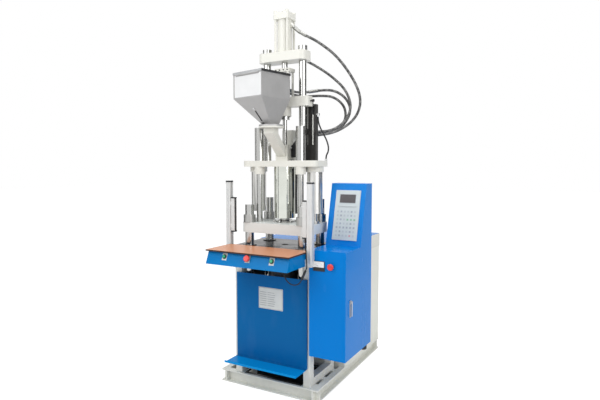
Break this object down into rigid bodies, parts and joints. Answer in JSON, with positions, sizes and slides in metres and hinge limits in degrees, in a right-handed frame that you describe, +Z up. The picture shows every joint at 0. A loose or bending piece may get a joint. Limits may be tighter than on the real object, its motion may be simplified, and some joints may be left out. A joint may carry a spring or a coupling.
{
  "type": "vertical injection moulding machine",
  "caption": "Vertical injection moulding machine with a fixed bed, moving platen on tie bars, sliding injection unit with hopper, control cabinet and light curtain.",
  "frame": {"origin": "on the floor under the axis of the mould and the barrel, at the underside of the base", "axes": "+X to the cabinet side, +Y to the back where the tank housing is, +Z up along the barrel"},
  "size_m": [0.966, 1.4212, 2.533],
  "materials": {
    "cream_paint": "satin",
    "blue_paint": "satin",
    "teal_paint": "satin",
    "ground_steel": "satin",
    "chrome": "polished",
    "stainless": "brushed",
    "cast": "machined",
    "board": "smooth",
    "black_plastic": "matte",
    "hose_rubber": "matte",
    "label": "satin",
    "keypad": "satin",
    "green_plastic": "gloss",
    "red_plastic": "gloss",
    "aluminium": "anodised",
    "band_steel": "brushed"
  },
  "bodies": {
    "base": {"base_frame": "cream_paint", "main_frame": "cream_paint", "bed": "cream_paint", "clamp_cylinder": "cast", "control_box": "blue_paint", "panel_fittings": "black_plastic", "label_plates": "label", "switchgear": "black_plastic", "work_board": "board", "front_panel": "teal_paint", "cabinet": "blue_paint", "console": "blue_paint", "keypad": "keypad", "curtain_posts": "aluminium", "light_curtains": "aluminium", "curtain_cable": "hose_rubber", "cable_plugs": "black_plastic", "tank_housing": "cream_paint", "tank_lid": "blue_paint", "power_pack": "cast"},
    "clamp": {"moving_platen": "cream_paint", "tie_bars": "chrome", "tie_nuts": "chrome", "crosshead": "cast", "clamp_piston": "chrome", "guide_columns": "chrome", "lift_rods": "chrome"},
    "seat": {"seat_plate": "cream_paint", "guide_covers": "chrome", "lift_cylinders": "cream_paint", "barrel": "ground_steel", "nozzle": "ground_steel", "heater_bands": "band_steel", "barrel_shield": "stainless", "feed_block": "cream_paint", "feed_chute": "stainless", "injection_columns": "chrome", "top_plate": "cream_paint", "injection_cylinder": "cream_paint", "cylinder_head": "cream_paint", "stroke_scale": "black_plastic", "hose_manifold": "cast", "hose_ferrules": "ground_steel", "ram_hoses": "hose_rubber", "motor_hoses": "hose_rubber", "looms": "black_plastic"},
    "injection": {"injection_yoke": "cream_paint", "motor_cage": "ground_steel", "hydraulic_motor": "cast", "injection_piston": "chrome", "scale_pointer": "black_plastic"},
    "screw": {"screw": "chrome"},
    "hopper": {"hopper": "stainless"},
    "hopper_lid": {"hopper_lid": "stainless"},
    "cabinet_door": {"cabinet_door": "blue_paint"},
    "handle_lever": {"handle_lever": "chrome"},
    "button_left": {"button_left": "green_plastic"},
    "button_right": {"button_right": "green_plastic"},
    "button_stop": {"button_stop": "red_plastic"},
    "cabinet_stop": {"cabinet_stop": "red_plastic"}
  },
  "joints": [
    {"name": "clamp_stroke", "type": "slide", "parent": "base", "child": "clamp", "axis": [0, 0, 1], "range_m": [0, 0.15]},
    {"name": "seat_lift", "type": "slide", "parent": "clamp", "child": "seat", "axis": [0, 0, 1], "range_m": [0, 0.05]},
    {"name": "injection_stroke", "type": "slide", "parent": "seat", "child": "injection", "axis": [0, 0, 1], "range_m": [-0.12, 0.01], "deforming": ["motor_hoses"]},
    {"name": "screw_spin", "type": "hinge", "parent": "injection", "child": "screw", "pos_m": [0, 0, 1.8], "axis": [0, 0, 1], "continuous": true},
    {"name": "hopper_swing", "type": "hinge", "parent": "seat", "child": "hopper", "pos_m": [0, -0.175, 1.757], "axis": [0, 0, 1], "range_deg": [0, 90]},
    {"name": "lid_hinge", "type": "hinge", "parent": "hopper", "child": "hopper_lid", "pos_m": [-0.08128, -0.33236, 2.0757], "axis": [0.9759, -0.2181, 0], "range_deg": [0, 100]},
    {"name": "door_hinge", "type": "hinge", "parent": "base", "child": "cabinet_door", "pos_m": [0.53575, 0.206, 0.65], "axis": [0, 0, 1], "range_deg": [0, 110]},
    {"name": "handle_flip", "type": "hinge", "parent": "cabinet_door", "child": "handle_lever", "pos_m": [0.562, -0.16, 0.673], "axis": [0, -1, 0], "range_deg": [0, 60]},
    {"name": "button_left_press", "type": "slide", "parent": "base", "child": "button_left", "axis": [0, 0.9244, -0.3813], "range_m": [0, 0.004], "stiffness_N_per_m": 400},
    {"name": "button_right_press", "type": "slide", "parent": "base", "child": "button_right", "axis": [0, 0.9244, -0.3813], "range_m": [0, 0.004], "stiffness_N_per_m": 400},
    {"name": "button_stop_press", "type": "slide", "parent": "base", "child": "button_stop", "axis": [0, 0.9244, -0.3813], "range_m": [0, 0.004]},
    {"name": "cabinet_stop_press", "type": "slide", "parent": "base", "child": "cabinet_stop", "axis": [0, 1, 0], "range_m": [0, 0.004]}
  ]
}
